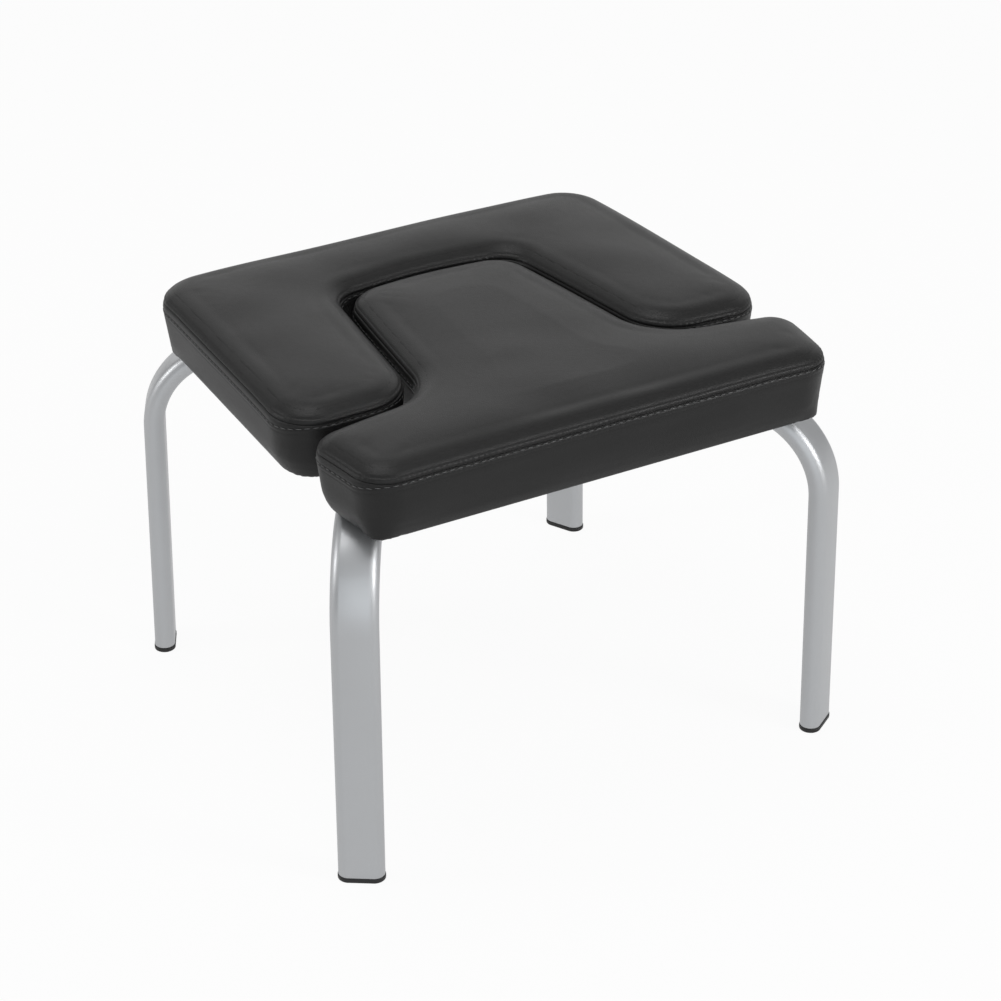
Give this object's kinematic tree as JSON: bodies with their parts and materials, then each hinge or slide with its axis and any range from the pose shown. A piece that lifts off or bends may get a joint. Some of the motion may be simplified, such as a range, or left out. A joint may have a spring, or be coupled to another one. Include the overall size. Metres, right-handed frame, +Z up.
{
  "type": "yoga headstand stool",
  "caption": "Low stool on bent flat-oval tube legs, with a U-shaped shoulder pad and a T-shaped front pad that lifts out to free the head opening for headstands.",
  "frame": {"origin": "on the floor, in the middle of the footprint", "axes": "+X to the right along the front edge, -Y towards the front, where the crossbar of the T pad is, +Z up"},
  "size_m": [0.4536, 0.4146, 0.353],
  "materials": {
    "leatherette": "black leatherette with a fine grain and a satin sheen",
    "foam": "cream upholstery foam",
    "plywood": "bare birch plywood",
    "dust_cloth": "black non-woven cloth",
    "leg_steel": "satin silver plating on steel",
    "black_plastic": "black moulded plastic",
    "fastener_steel": "bright zinc plating"
  },
  "bodies": {
    "stool": {"rear_pad_top_cover": "leatherette", "rear_pad_side_band": "leatherette", "rear_pad_foam": "foam", "rear_pad_board": "plywood", "rear_pad_base_cloth": "dust_cloth", "leg_front_left": "leg_steel", "foot_cap_front_left": "black_plastic", "arm_plug_front_left": "black_plastic", "leg_front_right": "leg_steel", "foot_cap_front_right": "black_plastic", "arm_plug_front_right": "black_plastic", "leg_rear_left": "leg_steel", "foot_cap_rear_left": "black_plastic", "arm_plug_rear_left": "black_plastic", "leg_rear_right": "leg_steel", "foot_cap_rear_right": "black_plastic", "arm_plug_rear_right": "black_plastic", "leg_bolt_front_left_1": "fastener_steel", "leg_bolt_front_left_2": "fastener_steel", "leg_bolt_front_right_1": "fastener_steel", "leg_bolt_front_right_2": "fastener_steel", "leg_bolt_rear_left_1": "fastener_steel", "leg_bolt_rear_left_2": "fastener_steel", "leg_bolt_rear_right_1": "fastener_steel", "leg_bolt_rear_right_2": "fastener_steel", "bolt_washer_front_left_1": "fastener_steel", "bolt_washer_front_left_2": "fastener_steel", "bolt_washer_front_right_1": "fastener_steel", "bolt_washer_front_right_2": "fastener_steel", "bolt_washer_rear_left_1": "fastener_steel", "bolt_washer_rear_left_2": "fastener_steel", "bolt_washer_rear_right_1": "fastener_steel", "bolt_washer_rear_right_2": "fastener_steel", "threaded_insert_front_left_1": "fastener_steel", "threaded_insert_front_left_2": "fastener_steel", "threaded_insert_front_right_1": "fastener_steel", "threaded_insert_front_right_2": "fastener_steel", "threaded_insert_rear_left_1": "fastener_steel", "threaded_insert_rear_left_2": "fastener_steel", "threaded_insert_rear_right_1": "fastener_steel", "threaded_insert_rear_right_2": "fastener_steel", "rest_plate": "leg_steel", "plate_screw_left": "fastener_steel", "plate_screw_right": "fastener_steel"},
    "front_pad": {"front_pad_top_cover": "leatherette", "front_pad_side_band": "leatherette", "front_pad_foam": "foam", "front_pad_board": "plywood", "front_pad_base_cloth": "dust_cloth", "front_pad_peg_left": "fastener_steel", "front_pad_peg_right": "fastener_steel"}
  },
  "joints": [
    {"name": "front_pad_lift", "type": "slide", "parent": "stool", "child": "front_pad", "axis": [0, 0, 1], "range_m": [0, 0.075]}
  ]
}
